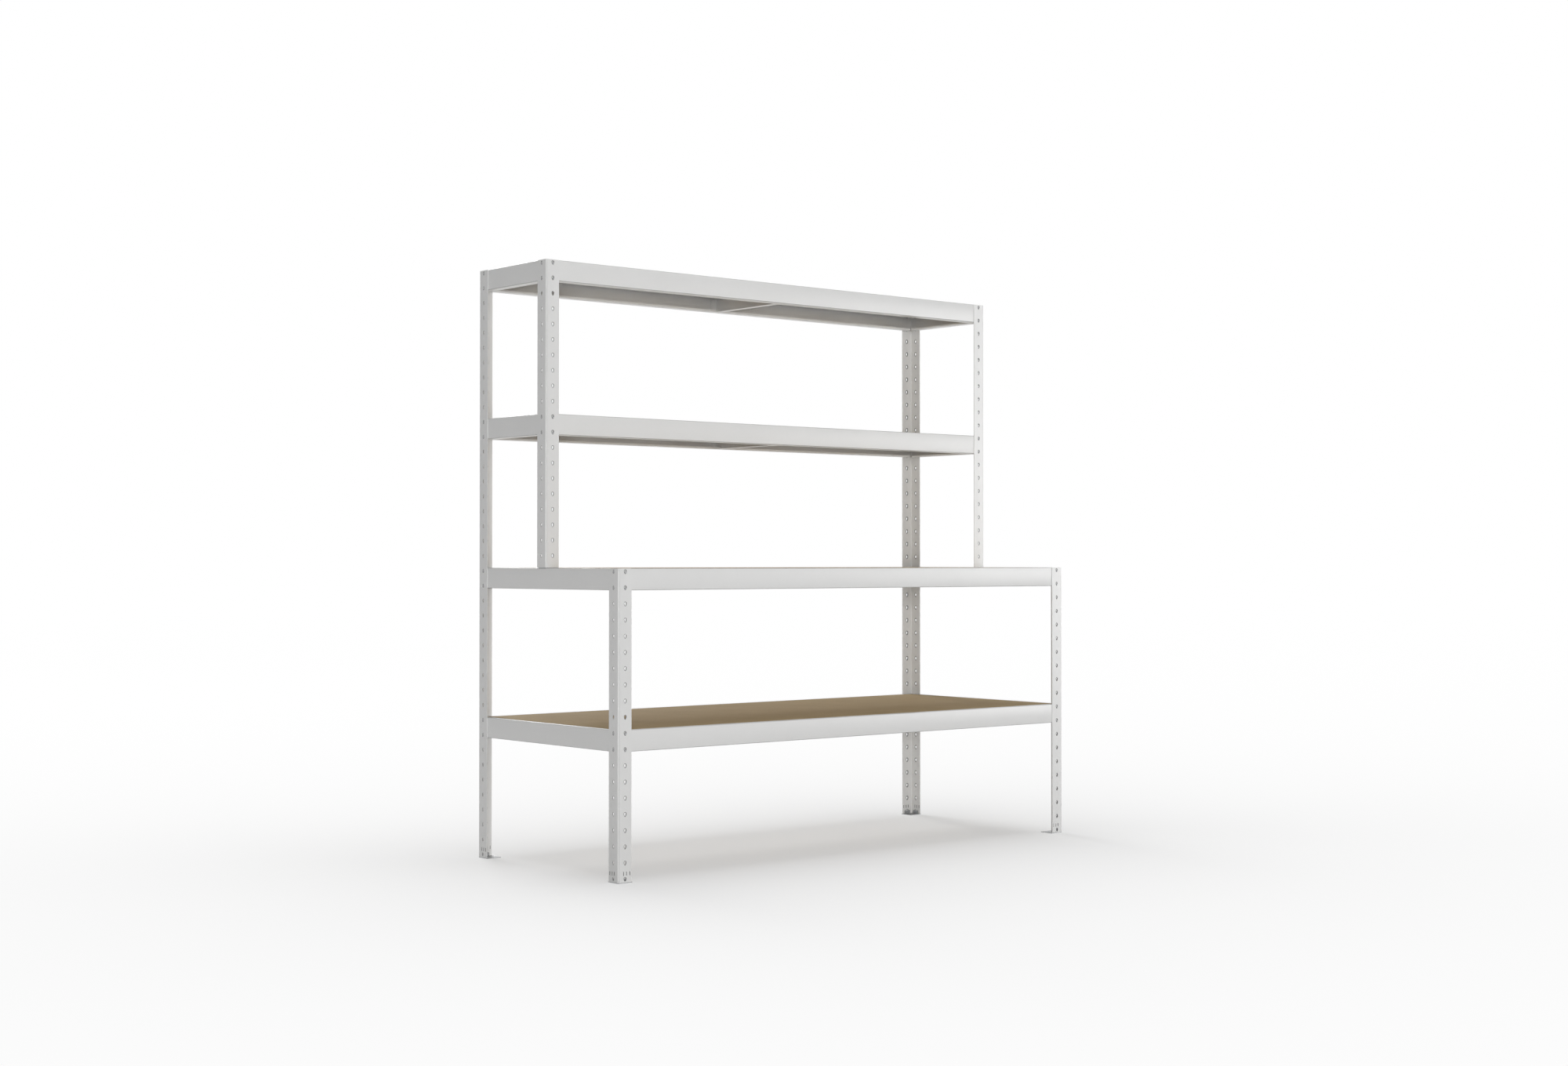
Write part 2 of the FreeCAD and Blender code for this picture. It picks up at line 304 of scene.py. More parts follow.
def makePiece(node, points, faces, edge=None):
    # a welded mesh with outward faces that stands for one node; edge is the painted shade (above 0) or
    # painted highlight (below 0) at each point
    skin = bpy.data.meshes.new(node + "_form")
    skin.from_pydata(points.tolist(), [], faces.tolist())
    if edge is not None:
        skin.attributes.new("edge", "FLOAT", "POINT").data.foreach_set("value", edge)
    form = bmesh.new()
    form.from_mesh(skin)
    bmesh.ops.remove_doubles(form, verts=form.verts, dist=mesh["weldGap"])
    bmesh.ops.dissolve_degenerate(form, edges=form.edges, dist=mesh["speck"])
    bmesh.ops.recalc_face_normals(form, faces=form.faces)
    form.to_mesh(skin)
    form.free()
    skin.polygons.foreach_set("use_smooth", np.ones(len(skin.polygons), bool))
    skin.set_sharp_from_angle(angle=mesh["crease"])
    skin.materials.append(finishes[slotOf[node]])
    piece = bpy.data.objects.new(node + "_form", skin)
    bpy.context.scene.collection.objects.link(piece)
    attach(piece, bodyOf[node])
    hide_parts(node)
    return piece


def foldedLine(start, heading, runs, turns, radius):
    # The middle line of a folded sheet: straight runs with a bend of this radius between them.
    # Each run loses the radius at a bent end, a bend is equal chords, and the points are the
    # running sum of both.  Points within a bend carry its number, the others -1.
    steps = mesh["bendSteps"]
    legs = []
    bends = [-1]
    for i, run in enumerate(runs):
        cut = radius * ((i > 0) + (i < len(runs) - 1))
        legs.append((run - cut, heading))
        bends.append(-1)
        if i < len(turns):
            bit = math.radians(turns[i]) / steps
            chord = 2 * radius * math.sin(abs(bit) / 2)
            legs += [(chord, heading + bit * (k + 0.5)) for k in range(steps)]
            bends += [i] * (steps - 1) + [-1]
            heading += math.radians(turns[i])
    length, angle = np.array(legs).T
    strides = length[:, None] * np.stack([np.cos(angle), np.sin(angle)], 1)
    line = np.vstack([[0, 0], np.cumsum(strides, 0)])
    facing = np.concatenate([angle[:1], (angle[1:] + angle[:-1]) / 2, angle[-1:]])
    return line + np.array(start), facing, np.array(bends)


def foldedSheet(line, facing, thick, sweep):
    # The line gets its thickness along its normals, and sweep(u, v, end) places that section
    # at the near end, -1, and at the far end, 1.
    across = np.stack([-np.sin(facing), np.cos(facing)], 1) * thick / 2
    left, right = line + across, line - across
    ring = np.vstack([left, right[::-1]])
    count = len(line)
    near = sweep(ring[:, 0], ring[:, 1], -1)
    far = sweep(ring[:, 0], ring[:, 1], 1)
    walls = gridFaces(2, 2 * count, closed=True)
    step = np.arange(count - 1)
    cap = np.stack([step, step + 1, 2 * count - 2 - step, 2 * count - 1 - step], 1)
    return np.vstack([near, far]), np.vstack([walls, cap, cap + 2 * count])


# Posts: a 50 mm angle with a rolled bend, teardrop keyholes on both flanges, and slits over the feet

post = {
    "flange": 50 * mm,
    "sheet": 2 * mm,
    "bend": 4 * mm,
    "bendLightAndShade": (0, -1, -1, -0.6, 0.4, 0),  # painted highlight (below 0) and painted shade (above 0), from the side flange round to the other
    "pitch": 50 * mm,
    "holeBelowTop": 10 * mm,
    "holeInset": 26 * mm,
    "headRadius": 3.5 * mm,
    "neckRadius": 2.2 * mm,
    "holeHeight": 11 * mm,
    "rimBands": (3.0 * mm, 5.0 * mm),
    "rimShade": ((0.58, 0.65), (0.22, 0.45)),  # painted shade round the holes: outside and inside, front or rear flange, then side flange
    "slits": ((1, 3, 20.5 * mm), (3, 5, 31.5 * mm), (5, 6, 44 * mm)),  # between two marks, at an inset
    "slitHalfWidth": 0.8 * mm,
    "slitSpan": (21.5 * mm, 33 * mm),
    "slitFloor": 20 * mm,
    "slitBands": (0.6 * mm, 0.6 * mm),
    # painted shade round the slits' rims
    "slitShade": 3.0,
    "acrossMarks": (4 * mm, 14 * mm, 20 * mm, 26 * mm, 32 * mm, 38.5 * mm, 50 * mm),
    "upSteps": 3,
    "rimNormals": 361,
    "leastCosine": 0.05,
}


def teardropRadius(angle):
    # distance from the hole's middle to the hull of two circles:
    # the least of h(n) / cos(angle - n) over the normals n, where h is how far the hull reaches along n
    normal = np.linspace(-np.pi, np.pi, post["rimNormals"])
    rise = post["holeHeight"] / 2
    wide = (rise - post["headRadius"]) * np.sin(normal) + post["headRadius"]
    narrow = (post["neckRadius"] - rise) * np.sin(normal) + post["neckRadius"]
    reach = np.maximum(wide, narrow)
    cosine = np.cos(angle[:, None] - normal[None, :])
    least = post["leastCosine"]
    return np.where(cosine > least, reach / np.maximum(cosine, least), np.inf).min(1)


def roundRim(middle, radius):
    # a rim where rays from the hole's middle to the cell's edge cross it
    def place(edge):
        away = edge - middle
        angle = np.arctan2(away[:, 1], away[:, 0])
        return middle + radius(angle)[:, None] * np.stack([np.cos(angle), np.sin(angle)], 1)
    return place


def slitRim(middle, half):
    # a rectangle's rim: the cell's edge drawn in to the slit's half width and half height
    def place(edge):
        low, high = edge.min(0), edge.max(0)
        return middle + half * (2 * edge - low - high) / (high - low)
    return place


def frameRing(across, up):
    # the points round a rectangle with these marks along its sides, anticlockwise from the lower left
    low = np.stack([across[:-1], np.full(len(across) - 1, up[0])], 1)
    right = np.stack([np.full(len(up) - 1, across[-1]), up[:-1]], 1)
    high = np.stack([across[:0:-1], np.full(len(across) - 1, up[-1])], 1)
    left = np.stack([np.full(len(up) - 1, across[0]), up[:0:-1]], 1)
    return np.vstack([low, right, high, left])


def holedCell(edge, rimOf, bands, depths, shaded=1):
    # One cell of a sheet from its edge in to the rim of its hole, on both faces.
    # Rows are outer edge, a band round the rim, outer rim, and the same inside; columns go round.
    # A band goes no further than a share of the way from the rim to the edge.
    # Each point is (across, up, depth, painted shade), where the painted shade is above 0 on a rim.
    rim = rimOf(edge)
    gap = edge - rim
    length = np.hypot(gap[:, 0], gap[:, 1])
    shares = [np.minimum(band / length, mesh["bandLimit"])[:, None] for band in bands]
    outer, inner = (rim + gap * share for share in shares)
    rows = [(edge, depths[0], 0), (outer, depths[0], 0), (rim, depths[0], shaded),
            (rim, depths[1], shaded), (inner, depths[1], 0), (edge, depths[1], 0)]
    points = np.vstack([np.insert(flat, [2, 2], [depth, shadeAmount], axis=1) for flat, depth, shadeAmount in rows])
    return points, gridFaces(len(rows), len(edge), closed=True)


def plainCell(across, up, depths):
    # a cell of a flange without a hole
    s, z = (grid.ravel() for grid in np.meshgrid(across, up))
    faces = [np.stack([s, z, np.full(len(s), depth), np.zeros(len(s))], 1) for depth in depths]
    return joinParts([(face, gridFaces(len(up), len(across))) for face in faces])


def flangeCells(length, slitted):
    # all cells of one flange as points (distance from the corner, height, depth, painted shade)
    top = length - post["holeBelowTop"]
    rise = post["holeHeight"] / 2
    holes = np.arange(top, rise, -post["pitch"])[::-1]
    borders = np.concatenate([[0], (holes[1:] + holes[:-1]) / 2, [length]])
    depths = (0.0, post["sheet"])
    marks = np.array(post["acrossMarks"])
    parts = []
    ups = []
    for i, hole in enumerate(holes):
        floor, roof = borders[i], borders[i + 1]
        if i == 0 and slitted:
            # a strip over the lowest hole carries the slits
            strip = np.linspace(post["slitFloor"], roof, post["upSteps"] + 1)
            roof = post["slitFloor"]
            low, high = post["slitSpan"]
            half = np.array([post["slitHalfWidth"], (high - low) / 2])
            first = post["slits"][0][0]
            parts.append(plainCell(marks[:first + 1], strip, depths))
            for left, right, inset in post["slits"]:
                shape = slitRim(np.array([inset, (low + high) / 2]), half)
                ring = frameRing(marks[left:right + 1], strip)
                parts.append(holedCell(ring, shape, post["slitBands"], depths, post["slitShade"]))
        up = np.linspace(floor, roof, post["upSteps"] + 1)
        ups.append(up if i == 0 else up[1:])
        if i == 0 and slitted:
            ups.append(strip[1:])
        shape = roundRim(np.array([post["holeInset"], hole]), teardropRadius)
        parts.append(holedCell(frameRing(marks, up), shape, post["rimBands"], depths))
    return joinParts(parts), np.concatenate(ups)


def makePost(node, inX, inY, slitted):
    low, high = (np.array(corner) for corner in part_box(node))
    corner = np.array([low[0] if inX > 0 else high[0], low[1] if inY > 0 else high[1], low[2]])
    (cells, cellFaces), heights = flangeCells(high[2] - low[2], slitted)
    s, z, d, shaded = cells.T
    parts = [(np.stack([s, d, z], 1), cellFaces), (np.stack([d, s, z], 1), cellFaces)]
    # the bend: two quarter arcs about one centre, carried up the heights of the cells
    bend, sheet = post["bend"], post["sheet"]
    turn = np.linspace(np.pi, 1.5 * np.pi, len(post["bendLightAndShade"]))
    quarter = np.stack([np.cos(turn), np.sin(turn)], 1)
    arcs = [bend + radius * quarter for radius in (bend, bend - sheet)]
    rise, place = np.meshgrid(heights, np.arange(len(turn)), indexing="ij")
    for plan in arcs:
        wall = np.column_stack([plan[place.ravel()], rise.ravel()])
        parts.append((wall, gridFaces(len(heights), len(turn))))
    # the free edges of both flanges, and the two ends
    up = np.repeat(heights, 2)
    deep = np.tile([0, sheet], len(heights))
    far = np.full(len(up), post["flange"])
    parts.append((np.stack([far, deep, up], 1), gridFaces(len(heights), 2)))
    parts.append((np.stack([deep, far, up], 1), gridFaces(len(heights), 2)))
    marks = post["acrossMarks"]
    run = np.repeat(marks, 2)
    thick = np.tile([0, sheet], len(marks))
    corners = np.stack(arcs, 1).reshape(-1, 2)
    for level in (heights[0], heights[-1]):
        flat = np.full(len(run), level)
        parts.append((np.stack([run, thick, flat], 1), gridFaces(len(marks), 2)))
        parts.append((np.stack([thick, run, flat], 1), gridFaces(len(marks), 2)))
        parts.append((np.insert(corners, 2, level, axis=1), gridFaces(len(turn), 2)))
    points, faces = joinParts(parts)
    # painted shade round the rims, by flange and by face, and painted highlight and shade on the bend's
    # outer arc across its turn
    edge = np.zeros(len(points))
    rims = [shaded * np.where(d > 0, inside, outside) for outside, inside in post["rimShade"]]
    edge[:2 * len(shaded)] = np.minimum(np.concatenate(rims), 1)
    bent = np.tile(post["bendLightAndShade"], len(heights))
    edge[2 * len(shaded):2 * len(shaded) + len(bent)] = bent
    return makePiece(node, corner + points * np.array([inX, inY, 1]), faces, edge=edge)


makePost("front_post_left", 1, 1, True)
makePost("front_post_right", -1, 1, True)
makePost("rear_post_left", 1, -1, True)
makePost("rear_post_right", -1, -1, True)
makePost("upper_post_left", 1, 1, False)
makePost("upper_post_right", -1, 1, False)
print("posts: 6")


# Beams: one folded sheet with a lip, a ledge for the board, a base flange and a hem.
# The folds are mitred at the ends.

beam = {
    "sheet": 1.5 * mm,
    "fold": 1.9 * mm,
    "height": 68 * mm,
    "lip": 16 * mm,
    "ledge": 20 * mm,
    "base": 36 * mm,
    "hem": 7 * mm,
    "board": 16 * mm,
    "webBack": 5 * mm,
    "mitreStart": 4.2 * mm,
    "mitreSlope": 40 / 36.8,
    "foldShade": {2: 0.12, 3: 0.22},  # painted shade on the web's top fold and bottom fold
}


def makeBeam(node, turn):
    low, high = (np.array(corner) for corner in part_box(node))
    thick = beam["sheet"]
    reach = beam["lip"] + beam["ledge"]
    line, facing, bends = foldedLine(
        (reach, -beam["board"] - thick / 2), math.pi,
        (reach - beam["lip"] + thick / 2, beam["board"], beam["lip"] - thick, beam["height"] - thick,
         beam["base"] - thick, beam["hem"] - thick / 2),
        (-90, 90, 90, 90, 90), beam["fold"])
    # the box ends where the web does, so the mitre is counted from there
    along = turn in (0, 180)
    webEnd = (high[0] - low[0] if along else high[1] - low[1]) / 2

    def sweep(inward, up, side):
        back = np.maximum(inward - beam["mitreStart"], 0) * beam["mitreSlope"]
        return np.stack([side * (webEnd - back), inward, up], 1)

    points, faces = foldedSheet(line, facing, thick, sweep)
    cos, sin = round(math.cos(math.radians(turn))), round(math.sin(math.radians(turn)))
    spun = points @ np.array([[cos, sin, 0], [-sin, cos, 0], [0, 0, 1]])
    middle = (low + high) / 2
    outer = {
        0: (middle[0], low[1]),
        90: (high[0], middle[1]),
        180: (middle[0], high[1]),
        270: (low[0], middle[1]),
    }
    # both ends of the section carry the painted shade of its folds, on both faces
    fold = np.array([beam["foldShade"].get(bend, 0) for bend in bends])
    edge = np.tile(np.concatenate([fold, fold[::-1]]), 2)
    return makePiece(node, spun + np.array([*outer[turn], high[2]]), faces, edge=edge)


levels = ("lower", "worktop", "middle", "top")
for level in levels:
    for side, turn in (("front", 0), ("right", 90), ("rear", 180), ("left", 270)):
        makeBeam("%s_%s_beam" % (level, side), turn)
print("beams:", 4 * len(levels))


# Middle bars: a channel under the board, with a tongue and a tab at each end

bar = {
    "sheet": 1.5 * mm,
    "fold": 1.9 * mm,
    "notch": 36.0 * mm,
    "hem": 7 * mm,
    "tab": 25 * mm,
    "headroom": 2 * mm,
}


def makeBar(node):
    low, high = (np.array(corner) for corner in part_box(node))
    thick = bar["sheet"]
    width, deep, tall = high - low
    middle = (low[1] + high[1]) / 2
    channelEnd = deep / 2 - bar["notch"] + beam["sheet"]
    floor, roof = low[2] + bar["hem"], high[2] - bar["headroom"]

    def alongDepth(x, z, end):
        return np.stack([x, np.full(len(x), end * channelEnd), z], 1)

    def upright(x, y, end):
        return np.stack([x, y, np.full(len(x), roof if end > 0 else floor)], 1)

    line, facing, _ = foldedLine(
        (high[0], high[2] - thick / 2), math.pi,
        (width - thick / 2, tall - thick, width - thick / 2), (90, 90), bar["fold"])
    channel = foldedSheet(line, facing, thick, alongDepth)
    line, facing, _ = foldedLine(
        (low[0] + thick / 2, channelEnd), math.pi / 2,
        (deep / 2 - thick / 2 - channelEnd, bar["tab"] - thick / 2), (-90,), bar["fold"])
    tongue, tongueFaces = foldedSheet(line, facing, thick, upright)
    mirrored = tongue * np.array([1, -1, 1])
    points, faces = joinParts([channel, (tongue, tongueFaces), (mirrored, tongueFaces)])
    # drawn open to the right about its middle, it stands in its place open to the left
    placed = np.stack([low[0] + high[0] - points[:, 0], middle + points[:, 1], points[:, 2]], 1)
    return makePiece(node, placed, faces)


for level in levels:
    makeBar(level + "_tie_bar")
print("middle bars:", len(levels))


# Boards: a slab with softly broken edges

plank = {
    "edgeRadius": 1.0 * mm,
    "edgeSteps": 3,
}


def makeDeck(node):
    low, high = (np.array(corner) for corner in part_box(node))
    radius = plank["edgeRadius"]
    turn = np.linspace(0, math.pi / 2, plank["edgeSteps"] + 1)
    # a ring is the plan drawn in by radius * (1 - sin t), at a height radius * (1 - cos t) from a face
    inset = radius * (1 - np.sin(turn))
    rise = radius * (1 - np.cos(turn))
    insets = np.concatenate([inset, inset[::-1]])
    heights = np.concatenate([low[2] + rise, high[2] - rise[::-1]])
    signX = np.array([-1, 1, 1, -1])
    signY = np.array([-1, -1, 1, 1])
    middle, half = (low + high) / 2, (high - low) / 2
    x = middle[0] + signX[None, :] * (half[0] - insets[:, None])
    y = middle[1] + signY[None, :] * (half[1] - insets[:, None])
    z = np.broadcast_to(heights[:, None], x.shape)
    points = np.stack([x, y, z], -1).reshape(-1, 3)
    last = len(points) - 4
    faces = np.vstack([gridFaces(len(heights), 4, closed=True), [[3, 2, 1, 0]],
                       [[last, last + 1, last + 2, last + 3]]])
    return makePiece(node, points, faces)


for level in levels:
    makeDeck(level + "_deck")
print("boards:", len(levels))


# Rivets and screws: profiles turned round an axis

rivet = {
    "headRadius": 3.3 * mm,
    "headRim": 0.5 * mm,
    "headHeight": 2 * mm,
    "neckRadius": 1.9 * mm,
    "neckLength": 3.7 * mm,
    "tailRadius": 4.2 * mm,
    "tailRim": 0.3 * mm,
    "tailHeight": 1.3 * mm,
    "gap": 0.2 * mm,
    "sides": 16,
    "headSteps": 4,
    "tailSteps": 3,
    "drop": 3.1 * mm,
}


def turned(profile, sides):
    # every (radius, height) of the profile goes round the axis; the ends are closed at radius zero
    angle = np.arange(sides) * 2 * math.pi / sides
    radius, height = np.array(profile).T
    ring = np.stack([np.outer(radius, np.cos(angle)), np.outer(radius, np.sin(angle)),
                     np.repeat(height[:, None], sides, 1)], -1)
    return ring.reshape(-1, 3), gridFaces(len(profile), sides, closed=True)


def dome(radius, rim, height, steps):
    # a quarter ellipse from the rim to the crown
    t = np.linspace(0, math.pi / 2, steps + 1)
    return list(zip(radius * np.cos(t), rim + (height - rim) * np.sin(t)))


def makeRivets(level):
    head = [(rivet["neckRadius"], 0), (rivet["headRadius"], 0)]
    head += dome(rivet["headRadius"], rivet["headRim"], rivet["headHeight"], rivet["headSteps"])
    base = -rivet["neckLength"]
    clinch = dome(rivet["tailRadius"], rivet["tailRim"], rivet["tailHeight"], rivet["tailSteps"])
    tail = [(radius, base - height) for radius, height in clinch[::-1]]
    tail += [(rivet["tailRadius"], base), (rivet["neckRadius"], base)]
    shape, faces = turned(tail + head, rivet["sides"])
    x, y, out = shape.T
    parts = []
    for side in ("front", "right", "rear", "left"):
        low, high = (np.array(corner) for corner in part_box("%s_%s_beam" % (level, side)))
        along = 0 if side in ("front", "rear") else 1
        sign = -1 if side in ("front", "left") else 1
        face = (high if sign > 0 else low)[1 - along] + sign * (post["sheet"] + rivet["gap"])
        # the keyholes' inset counts from the post's corner, past the end of the web
        inset = post["holeInset"] - beam["webBack"] - post["sheet"]
        for spot in (low[along] + inset, high[along] - inset):
            for row in range(2):
                height = high[2] - post["holeBelowTop"] - row * post["pitch"] - rivet["drop"]
                place = np.zeros(shape.shape)
                place[:, along] = spot + x
                place[:, 1 - along] = face + sign * out
                place[:, 2] = height + y
                parts.append((place, faces))
    points, faces = joinParts(parts)
    return makePiece(level + "_rivets", points, faces)


for level in levels:
    makeRivets(level)
print("rivets: 16 at each level")

screw = {
    "headRadius": 6 * mm,
    "headRim": 0.8 * mm,
    "headHeight": 3 * mm,
    "shankRadius": 2.2 * mm,
    "coreRadius": 1.6 * mm,
    "threadPitch": 1.8 * mm,
    "length": 15 * mm,
    "point": 3 * mm,
    "recess": 1.4 * mm,
    "recessRadius": 1.9 * mm,
    "recessTaper": 0.8,
    "recessPoint": 0.4 * mm,
    "sides": 24,
    "headSteps": 6,
}


def makeScrews(node):
    low, high = (np.array(corner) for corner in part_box(node))
    base = high[2] - screw["headHeight"]
    # the head's dome ends at a recess that narrows downwards
    bore = screw["recessRadius"]
    head = dome(screw["headRadius"], screw["headRim"], screw["headHeight"], screw["headSteps"])
    head = [ring for ring in head if ring[0] > bore]
    sink = screw["headHeight"] - screw["recess"]
    head += [(bore, head[-1][1]), (bore * screw["recessTaper"], sink), (0, sink - screw["recessPoint"])]
    # the thread goes from core to crest and back in each pitch
    threaded = screw["length"] - screw["point"]
    turns = int(threaded / screw["threadPitch"])
    threads = [(screw["shankRadius"] if k % 2 else screw["coreRadius"],
                k * screw["threadPitch"] / 2 - threaded) for k in range(2 * turns + 1)]
    shank = [(0, -screw["length"])] + threads + [(screw["shankRadius"], 0)]
    shape, faces = turned(shank + [(screw["headRadius"], 0)] + head, screw["sides"])
    y = (low[1] + high[1]) / 2
    spots = [(low[0] + screw["headRadius"], y, base), (high[0] - screw["headRadius"], y, base)]
    points, faces = joinParts([(shape + np.array(spot), faces) for spot in spots])
    return makePiece(node, points, faces)


makeScrews("upper_foot_screws")
print("screws: 2")


# Feet: a plate with a hole, and two ears inside the post's flanges.
# The upper ones are cut off across the post's angle.

foot = {
    "sheet": 2 * mm,
    "inset": 0.5 * mm,
    "floor": {"side": 54 * mm, "reach": 108 * mm, "hole": (34 * mm, 34 * mm)},  # cuts nothing off
    "upper": {"side": 50 * mm, "reach": 54 * mm, "hole": (28 * mm, 12 * mm)},
    "holeRadius": 3.5 * mm,
    "rimBands": (1.0 * mm, 1.0 * mm),
    "earWidth": 28 * mm,
    "earRound": 4 * mm,
    "roundMarks": 5,
    "marks": 9,
}


def makeFoot(node, inX, inY, plan):
    low, high = (np.array(corner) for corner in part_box(node))
    corner = np.array([(low[0] if inX > 0 else high[0]) - inX * foot["inset"],
                       (low[1] if inY > 0 else high[1]) - inY * foot["inset"], low[2]])
    marks = np.linspace(foot["inset"], plan["side"], foot["marks"])
    ring = frameRing(marks, marks)
    # points whose two distances from the corner sum to more than the reach are drawn back to it
    ring = ring * np.minimum(plan["reach"] / ring.sum(1), 1)[:, None]
    bore = roundRim(np.array(plan["hole"]), lambda angle: np.full(len(angle), foot["holeRadius"]))
    plate, faces = holedCell(ring, bore, foot["rimBands"], (0.0, foot["sheet"]))
    step = np.arange(len(ring))
    beside = (step + 1) % len(ring)
    last = len(plate) - len(ring)
    border = np.stack([step, beside, beside + last, step + last], 1)
    parts = [(plate[:, :3], np.vstack([faces, border]))]
    # an ear is a rectangle with rounded upper corners, run through the sheet's thickness
    left = post["holeInset"] - foot["earWidth"] / 2
    right = post["holeInset"] + foot["earWidth"] / 2
    tall = high[2] - low[2]
    turn = np.linspace(0, math.pi / 2, foot["roundMarks"])
    radius = foot["earRound"]
    rounded = np.concatenate([
        np.stack([right - radius + radius * np.cos(turn), tall - radius + radius * np.sin(turn)], 1),
        np.stack([left + radius - radius * np.sin(turn), tall - radius + radius * np.cos(turn)], 1)])
    outline = np.vstack([[[left, foot["sheet"]], [right, foot["sheet"]]], rounded])
    count = len(outline)
    walls = gridFaces(2, count, closed=True)
    half = np.arange(count // 2 - 1)
    order = np.roll(np.arange(count), -1)
    cap = np.stack([order[half], order[half + 1], order[count - 2 - half], order[count - 1 - half]], 1)
    near, far = post["sheet"], post["sheet"] + foot["sheet"]
    flat = np.vstack([outline, outline])
    depth = np.repeat([near, far], count)
    ear = np.vstack([walls, cap, cap + count])
    parts.append((np.stack([flat[:, 0], depth, flat[:, 1]], 1), ear))
    parts.append((np.stack([depth, flat[:, 0], flat[:, 1]], 1), ear))
    points, faces = joinParts(parts)
    return makePiece(node, corner + points * np.array([inX, inY, 1]), faces)


for row, inY in (("front", 1), ("rear", -1), ("upper", 1)):
    for side, inX in (("left", 1), ("right", -1)):
        makeFoot("%s_foot_%s" % (row, side), inX, inY, foot["upper" if row == "upper" else "floor"])
print("feet: 6")


# Floor, light and camera

stage = {
    "floorSize": 60.0,
    "floorColour": (0.86, 0.86, 0.86, 1),
    "fadeHalf": (0.9, 0.3, 0.0),
    "fadeLength": 1.3,
    "fadeLeast": 0.42,
    "whiteStrength": 1.0,
    "skyColour": (1, 1, 1, 1),
    "horizonStrength": 0.10,
    "zenithStrength": 0.17,
    "horizonHeight": 0.12,
    "zenithHeight": 0.70,
}


def seenRays(wire):
    # 1 for rays from the camera, off gloss or through glass, which see plain white
    rays = wire.add("LightPath", outlet="Is Camera Ray")
    seen = rays + Wire(wire.tree, rays.out.node.outputs["Is Glossy Ray"])
    return seen + Wire(wire.tree, rays.out.node.outputs["Is Transmission Ray"])


def makeFloor():
    half = stage["floorSize"] / 2
    square = [(-half, -half, 0), (half, -half, 0), (half, half, 0), (-half, half, 0)]
    ground = bpy.data.meshes.new("floor")
    ground.from_pydata(square, [], [(0, 1, 2, 3)])
    floor = bpy.data.objects.new("floor", ground)
    bpy.context.scene.collection.objects.link(floor)
    material, wire = newMaterial("paleFloor")
    where = wire.add("TexCoord", outlet="Object")
    # the floor turns white with the distance from a rectangle under the table, by an inverse square, so
    # it darkens towards the table: a painted shade laid over the floor's real shadows
    side = wire.add("VectorMath", {"operation": "ABSOLUTE"}, {0: where})
    over = wire.add("VectorMath", {"operation": "SUBTRACT"}, {0: side, 1: stage["fadeHalf"]})
    beyond = wire.add("VectorMath", {"operation": "MAXIMUM"}, {0: over, 1: (0, 0, 0)})
    away = wire.add("VectorMath", {"operation": "LENGTH"}, {0: beyond}, "Value")
    spread = 1 + away / stage["fadeLength"]
    fade = 1 - (1 - stage["fadeLeast"]) / (spread * spread)
    matt = wire.add("BsdfDiffuse", None, {"Color": stage["floorColour"]})
    white = wire.add("Emission", None, {"Strength": stage["whiteStrength"]})
    finishMaterial(wire, wire.add("MixShader", None, {0: fade * seenRays(wire), 1: matt, 2: white}))
    ground.materials.append(material)


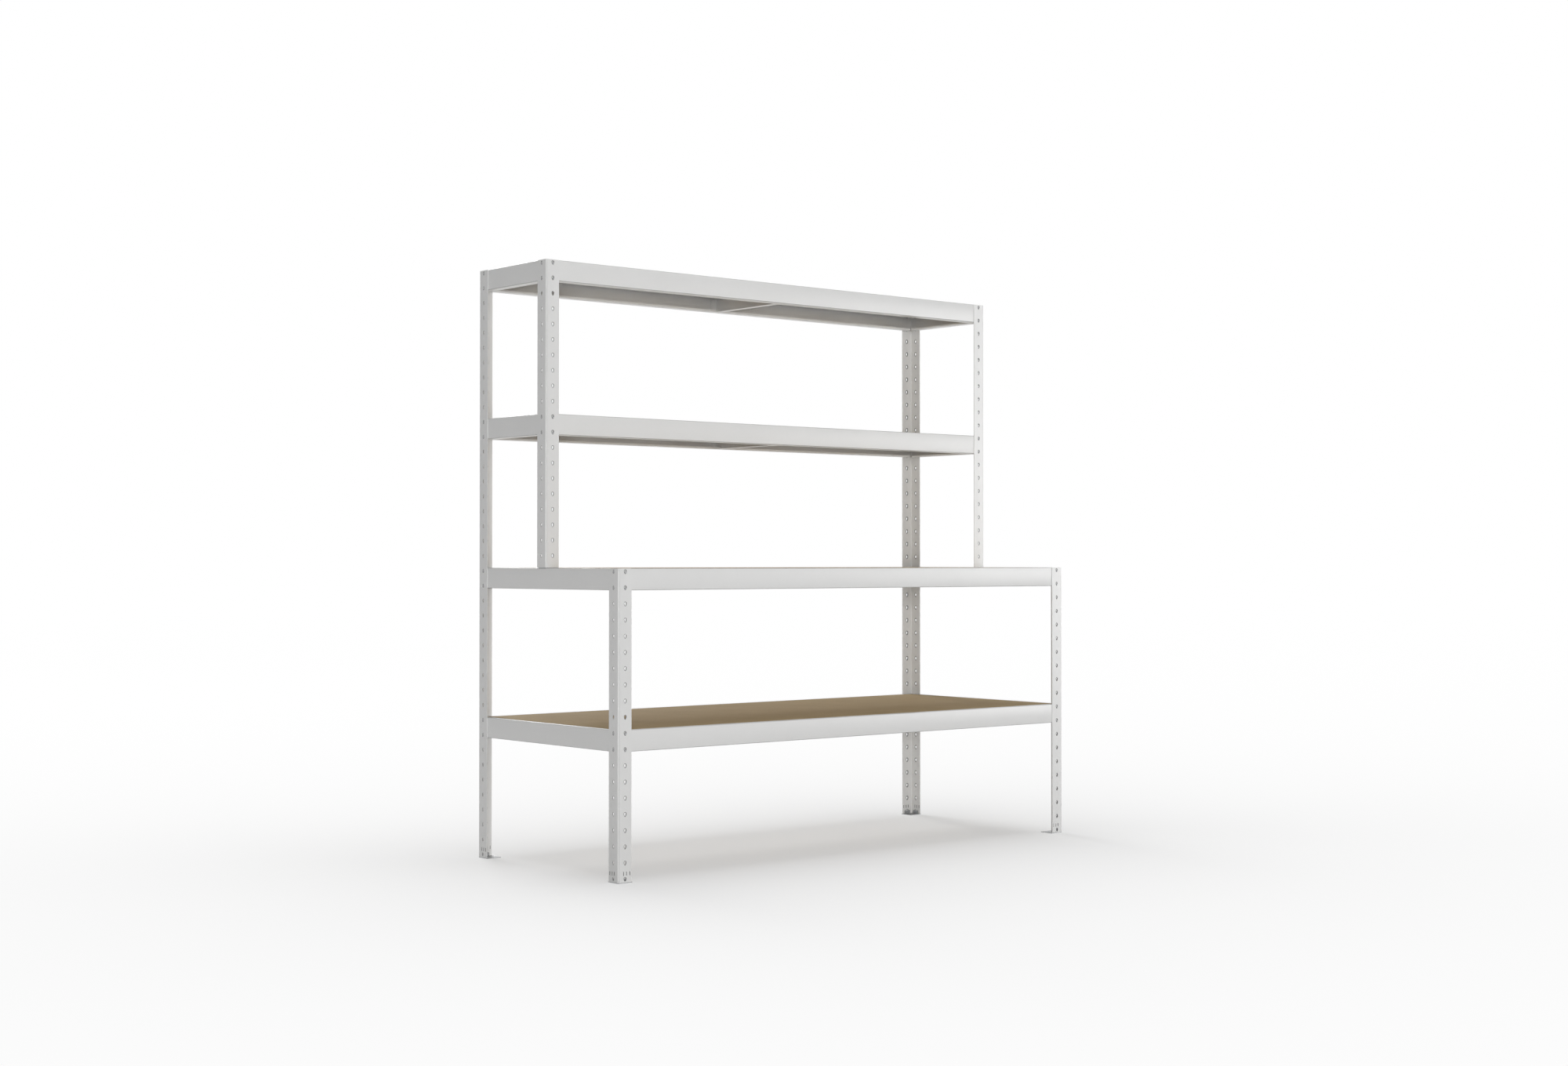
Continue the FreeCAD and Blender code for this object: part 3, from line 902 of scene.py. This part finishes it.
def makeSky():
    world = bpy.data.worlds.new("studio")
    world.use_nodes = True
    bpy.context.scene.world = world
    tree = world.node_tree
    tree.nodes.clear()
    wire = Wire(tree)
    # light from the sky goes from its horizon strength to its zenith strength with the ray's height
    heading = wire.add("TexCoord", outlet="Generated")
    rise = wire.add("SeparateXYZ", None, {"Vector": heading}, "Z")
    height = wire.add("MapRange", {"interpolation_type": "SMOOTHSTEP"}, {
        "Value": rise,
        "From Min": stage["horizonHeight"],
        "From Max": stage["zenithHeight"],
    })
    plain = stage["skyColour"]
    horizon = wire.add("Background", None, {"Color": plain, "Strength": stage["horizonStrength"]})
    zenith = wire.add("Background", None, {"Color": plain, "Strength": stage["zenithStrength"]})
    sky = wire.add("MixShader", None, {0: height, 1: horizon, 2: zenith})
    white = wire.add("Background", None, {"Color": plain, "Strength": stage["whiteStrength"]})
    both = wire.add("MixShader", None, {0: seenRays(wire), 1: sky, 2: white})
    output = tree.nodes.new("ShaderNodeOutputWorld")
    tree.links.new(both.out, output.inputs["Surface"])


lamps = {
    "front": {"spot": (-4.0, -14.5, 1.2), "aim": (0.0, 0.0, 0.9), "side": 4.0, "power": 310},
    "corner": {"spot": (-9.5, -11.5, 1.2), "aim": (0.0, 0.0, 0.9), "side": 2.4, "power": 600},
    "right": {"spot": (13.0, -10.0, 1.4), "aim": (0.4, 0.0, 0.9), "side": 5.0, "power": 640},
    "top": {"spot": (0.0, -1.0, 7.0), "aim": (0.0, 0.0, 0.0), "side": 6.0, "power": 120},
    "rear": {"spot": (2.0, 12.0, 8.0), "aim": (0.0, 0.0, 0.8), "side": 6.0, "power": 1000},
}


def turnTo(thing, spot, aim):
    thing.location = spot
    away = np.array(aim) - np.array(spot)
    flat = math.hypot(away[0], away[1])
    thing.rotation_euler = (math.pi / 2 + math.atan2(away[2], flat), 0, math.atan2(-away[0], away[1]))


def makeLamps():
    for name, row in lamps.items():
        light = bpy.data.lights.new(name, "AREA")
        light.shape = "SQUARE"
        light.size = row["side"]
        light.energy = row["power"]
        lamp = bpy.data.objects.new(name, light)
        bpy.context.scene.collection.objects.link(lamp)
        turnTo(lamp, row["spot"], row["aim"])


view = {
    "spot": (-4.9506, -5.8839, 0.9916),
    "yaw": 0.6999,
    "pitch": 0.0133,
    "focalPixels": 2786.2,
    "framePixels": 2000,
    "sensorWidth": 36,
}


def makeCamera():
    data = bpy.data.cameras.new("camera")
    data.sensor_width = view["sensorWidth"]
    data.lens = view["focalPixels"] / view["framePixels"] * data.sensor_width
    camera = bpy.data.objects.new("camera", data)
    camera.location = view["spot"]
    camera.rotation_euler = (math.pi / 2 + view["pitch"], 0, -view["yaw"])
    bpy.context.scene.collection.objects.link(camera)
    bpy.context.scene.camera = camera


makeFloor()
makeSky()
makeLamps()
makeCamera()
bpy.context.scene.view_settings.view_transform = "Standard"
print("stage: floor, sky,", len(lamps), "lamps and the camera")
